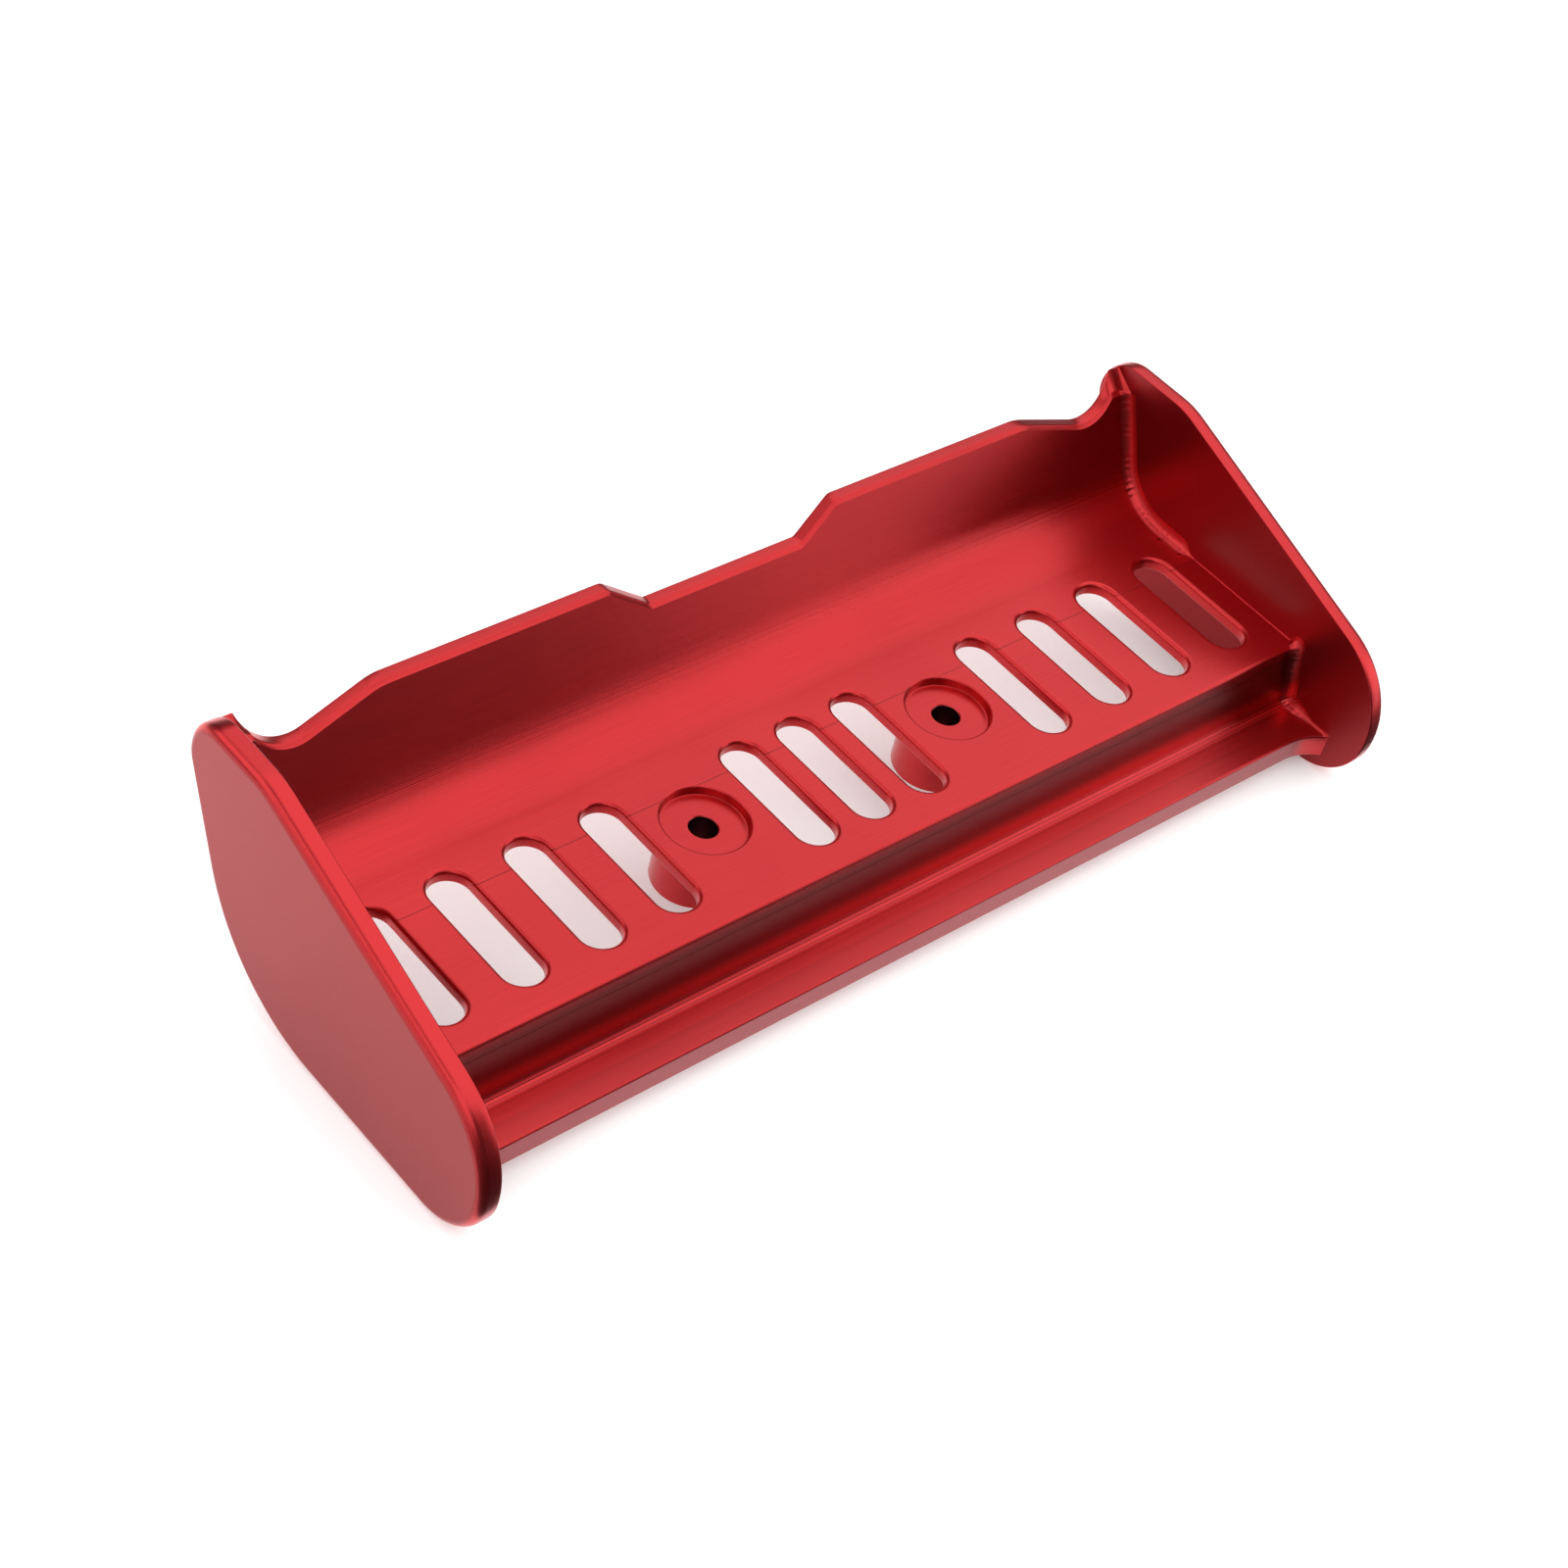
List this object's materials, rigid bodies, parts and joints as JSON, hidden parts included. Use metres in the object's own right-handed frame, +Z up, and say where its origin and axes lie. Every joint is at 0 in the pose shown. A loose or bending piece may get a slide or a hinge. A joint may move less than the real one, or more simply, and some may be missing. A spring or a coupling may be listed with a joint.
{
  "type": "racing rear wing",
  "caption": "Model-car racing rear wing: slotted deck with screw seats and bosses, notched rear spoiler, stepped front lip and rounded end plates.",
  "frame": {"origin": "bottom centre of the bounding box, on the plane the two end plates stand on", "axes": "+X along the span from the left plate to the right one, +Y towards the back of the car, +Z up"},
  "size_m": [0.1066, 0.0418, 0.024],
  "materials": {
    "wing_anodised": "satin red anodising over fine milling lines along the span",
    "plate_anodised": "satin red anodising, slightly more matt outer faces"
  },
  "bodies": {
    "root": {"main_deck": "wing_anodised", "rear_spoiler": "wing_anodised", "front_lip": "wing_anodised", "left_end_plate": "plate_anodised", "right_end_plate": "plate_anodised", "left_mount_boss": "wing_anodised", "right_mount_boss": "wing_anodised"}
  },
  "joints": []
}
